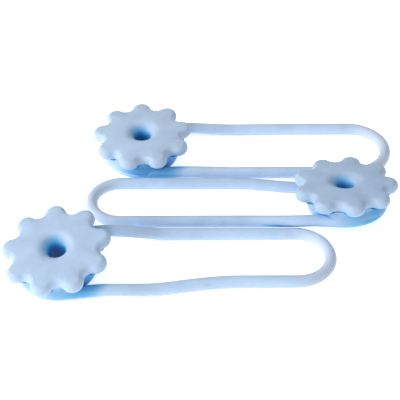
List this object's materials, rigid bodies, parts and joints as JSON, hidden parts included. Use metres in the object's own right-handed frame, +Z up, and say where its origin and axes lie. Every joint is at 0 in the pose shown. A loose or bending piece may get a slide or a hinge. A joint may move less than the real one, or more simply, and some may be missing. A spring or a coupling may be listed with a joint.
{
  "type": "cheek retractor",
  "caption": "Set of soft silicone cheek retractors, each a lobed flower head with a funnel hole on a conical neck and a long loop of round cord.",
  "frame": {"origin": "middle of the whole set on the table it lies on", "axes": "+X along the loops, to the right; +Y away from the viewer, from the front retractor to the back one; +Z up out of the table"},
  "size_m": [0.13, 0.0942, 0.0152],
  "materials": {
    "silicone": "pale blue moulded silicone, matt satin, slightly translucent"
  },
  "bodies": {
    "back_head": {"back_lobed_head": "silicone", "back_neck": "silicone", "back_neck_bend": "silicone"},
    "back_root": {"back_left_cord_root": "silicone", "back_right_cord_root": "silicone"},
    "back_mid": {"back_left_cord_mid": "silicone", "back_right_cord_mid": "silicone"},
    "back_tip": {"back_left_cord_tip": "silicone", "back_right_cord_tip": "silicone", "back_loop_end": "silicone"},
    "middle_head": {"middle_lobed_head": "silicone", "middle_neck": "silicone", "middle_neck_bend": "silicone"},
    "middle_root": {"middle_left_cord_root": "silicone", "middle_right_cord_root": "silicone"},
    "middle_mid": {"middle_left_cord_mid": "silicone", "middle_right_cord_mid": "silicone"},
    "middle_tip": {"middle_left_cord_tip": "silicone", "middle_right_cord_tip": "silicone", "middle_loop_end": "silicone"},
    "front_head": {"front_lobed_head": "silicone", "front_neck": "silicone", "front_neck_bend": "silicone"},
    "front_root": {"front_left_cord_root": "silicone", "front_right_cord_root": "silicone"},
    "front_mid": {"front_left_cord_mid": "silicone", "front_right_cord_mid": "silicone"},
    "front_tip": {"front_left_cord_tip": "silicone", "front_right_cord_tip": "silicone", "front_loop_end": "silicone"}
  },
  "joints": [
    {"name": "roll_back", "type": "hinge", "parent": "back_root", "child": "back_head", "pos_m": [-0.02284, 0.01764, 0.00211], "axis": [1, 0, 0], "range_deg": [-1, 18.5], "stiffness_Nm_per_rad": 0.01},
    {"name": "stretch_back", "type": "slide", "parent": "back_root", "child": "back_mid", "axis": [1, 0, 0], "range_m": [0, 0.015], "stiffness_N_per_m": 250},
    {"name": "fold_back", "type": "hinge", "parent": "back_mid", "child": "back_tip", "pos_m": [0.02816, 0.02983, 0.0043], "axis": [0, -1, 0], "range_deg": [0, 150], "stiffness_Nm_per_rad": 0.001, "deforming": ["back_right_cord_tip", "back_loop_end"]},
    {"name": "roll_middle", "type": "hinge", "parent": "middle_root", "child": "middle_head", "pos_m": [0.04561, 0.01123, 0.0023], "axis": [1, 0, 0], "range_deg": [-10, 1], "stiffness_Nm_per_rad": 0.01},
    {"name": "stretch_middle", "type": "slide", "parent": "middle_root", "child": "middle_mid", "axis": [-1, 0, 0], "range_m": [0, 0.015], "stiffness_N_per_m": 250},
    {"name": "fold_middle", "type": "hinge", "parent": "middle_mid", "child": "middle_tip", "pos_m": [-0.00539, -0.00082, 0.0043], "axis": [0, 1, 0], "range_deg": [0, 150], "stiffness_Nm_per_rad": 0.001, "deforming": ["middle_right_cord_tip", "middle_loop_end"]},
    {"name": "roll_front", "type": "hinge", "parent": "front_root", "child": "front_head", "pos_m": [-0.04714, -0.04141, 0.00223], "axis": [1, 0, 0], "range_deg": [-9, 14.5], "stiffness_Nm_per_rad": 0.01},
    {"name": "stretch_front", "type": "slide", "parent": "front_root", "child": "front_mid", "axis": [1, 0, 0], "range_m": [0, 0.008], "stiffness_N_per_m": 250},
    {"name": "fold_front", "type": "hinge", "parent": "front_mid", "child": "front_tip", "pos_m": [0.00386, -0.02937, 0.0043], "axis": [0, -1, 0], "range_deg": [0, 150], "stiffness_Nm_per_rad": 0.001, "deforming": ["front_left_cord_tip", "front_loop_end"]},
    {"name": "part_back", "type": "slide", "parent": "middle_root", "child": "back_root", "axis": [0, 1, 0], "range_m": [0, 0.04]},
    {"name": "part_front", "type": "slide", "parent": "middle_root", "child": "front_root", "axis": [0, -1, 0], "range_m": [0, 0.04]}
  ]
}
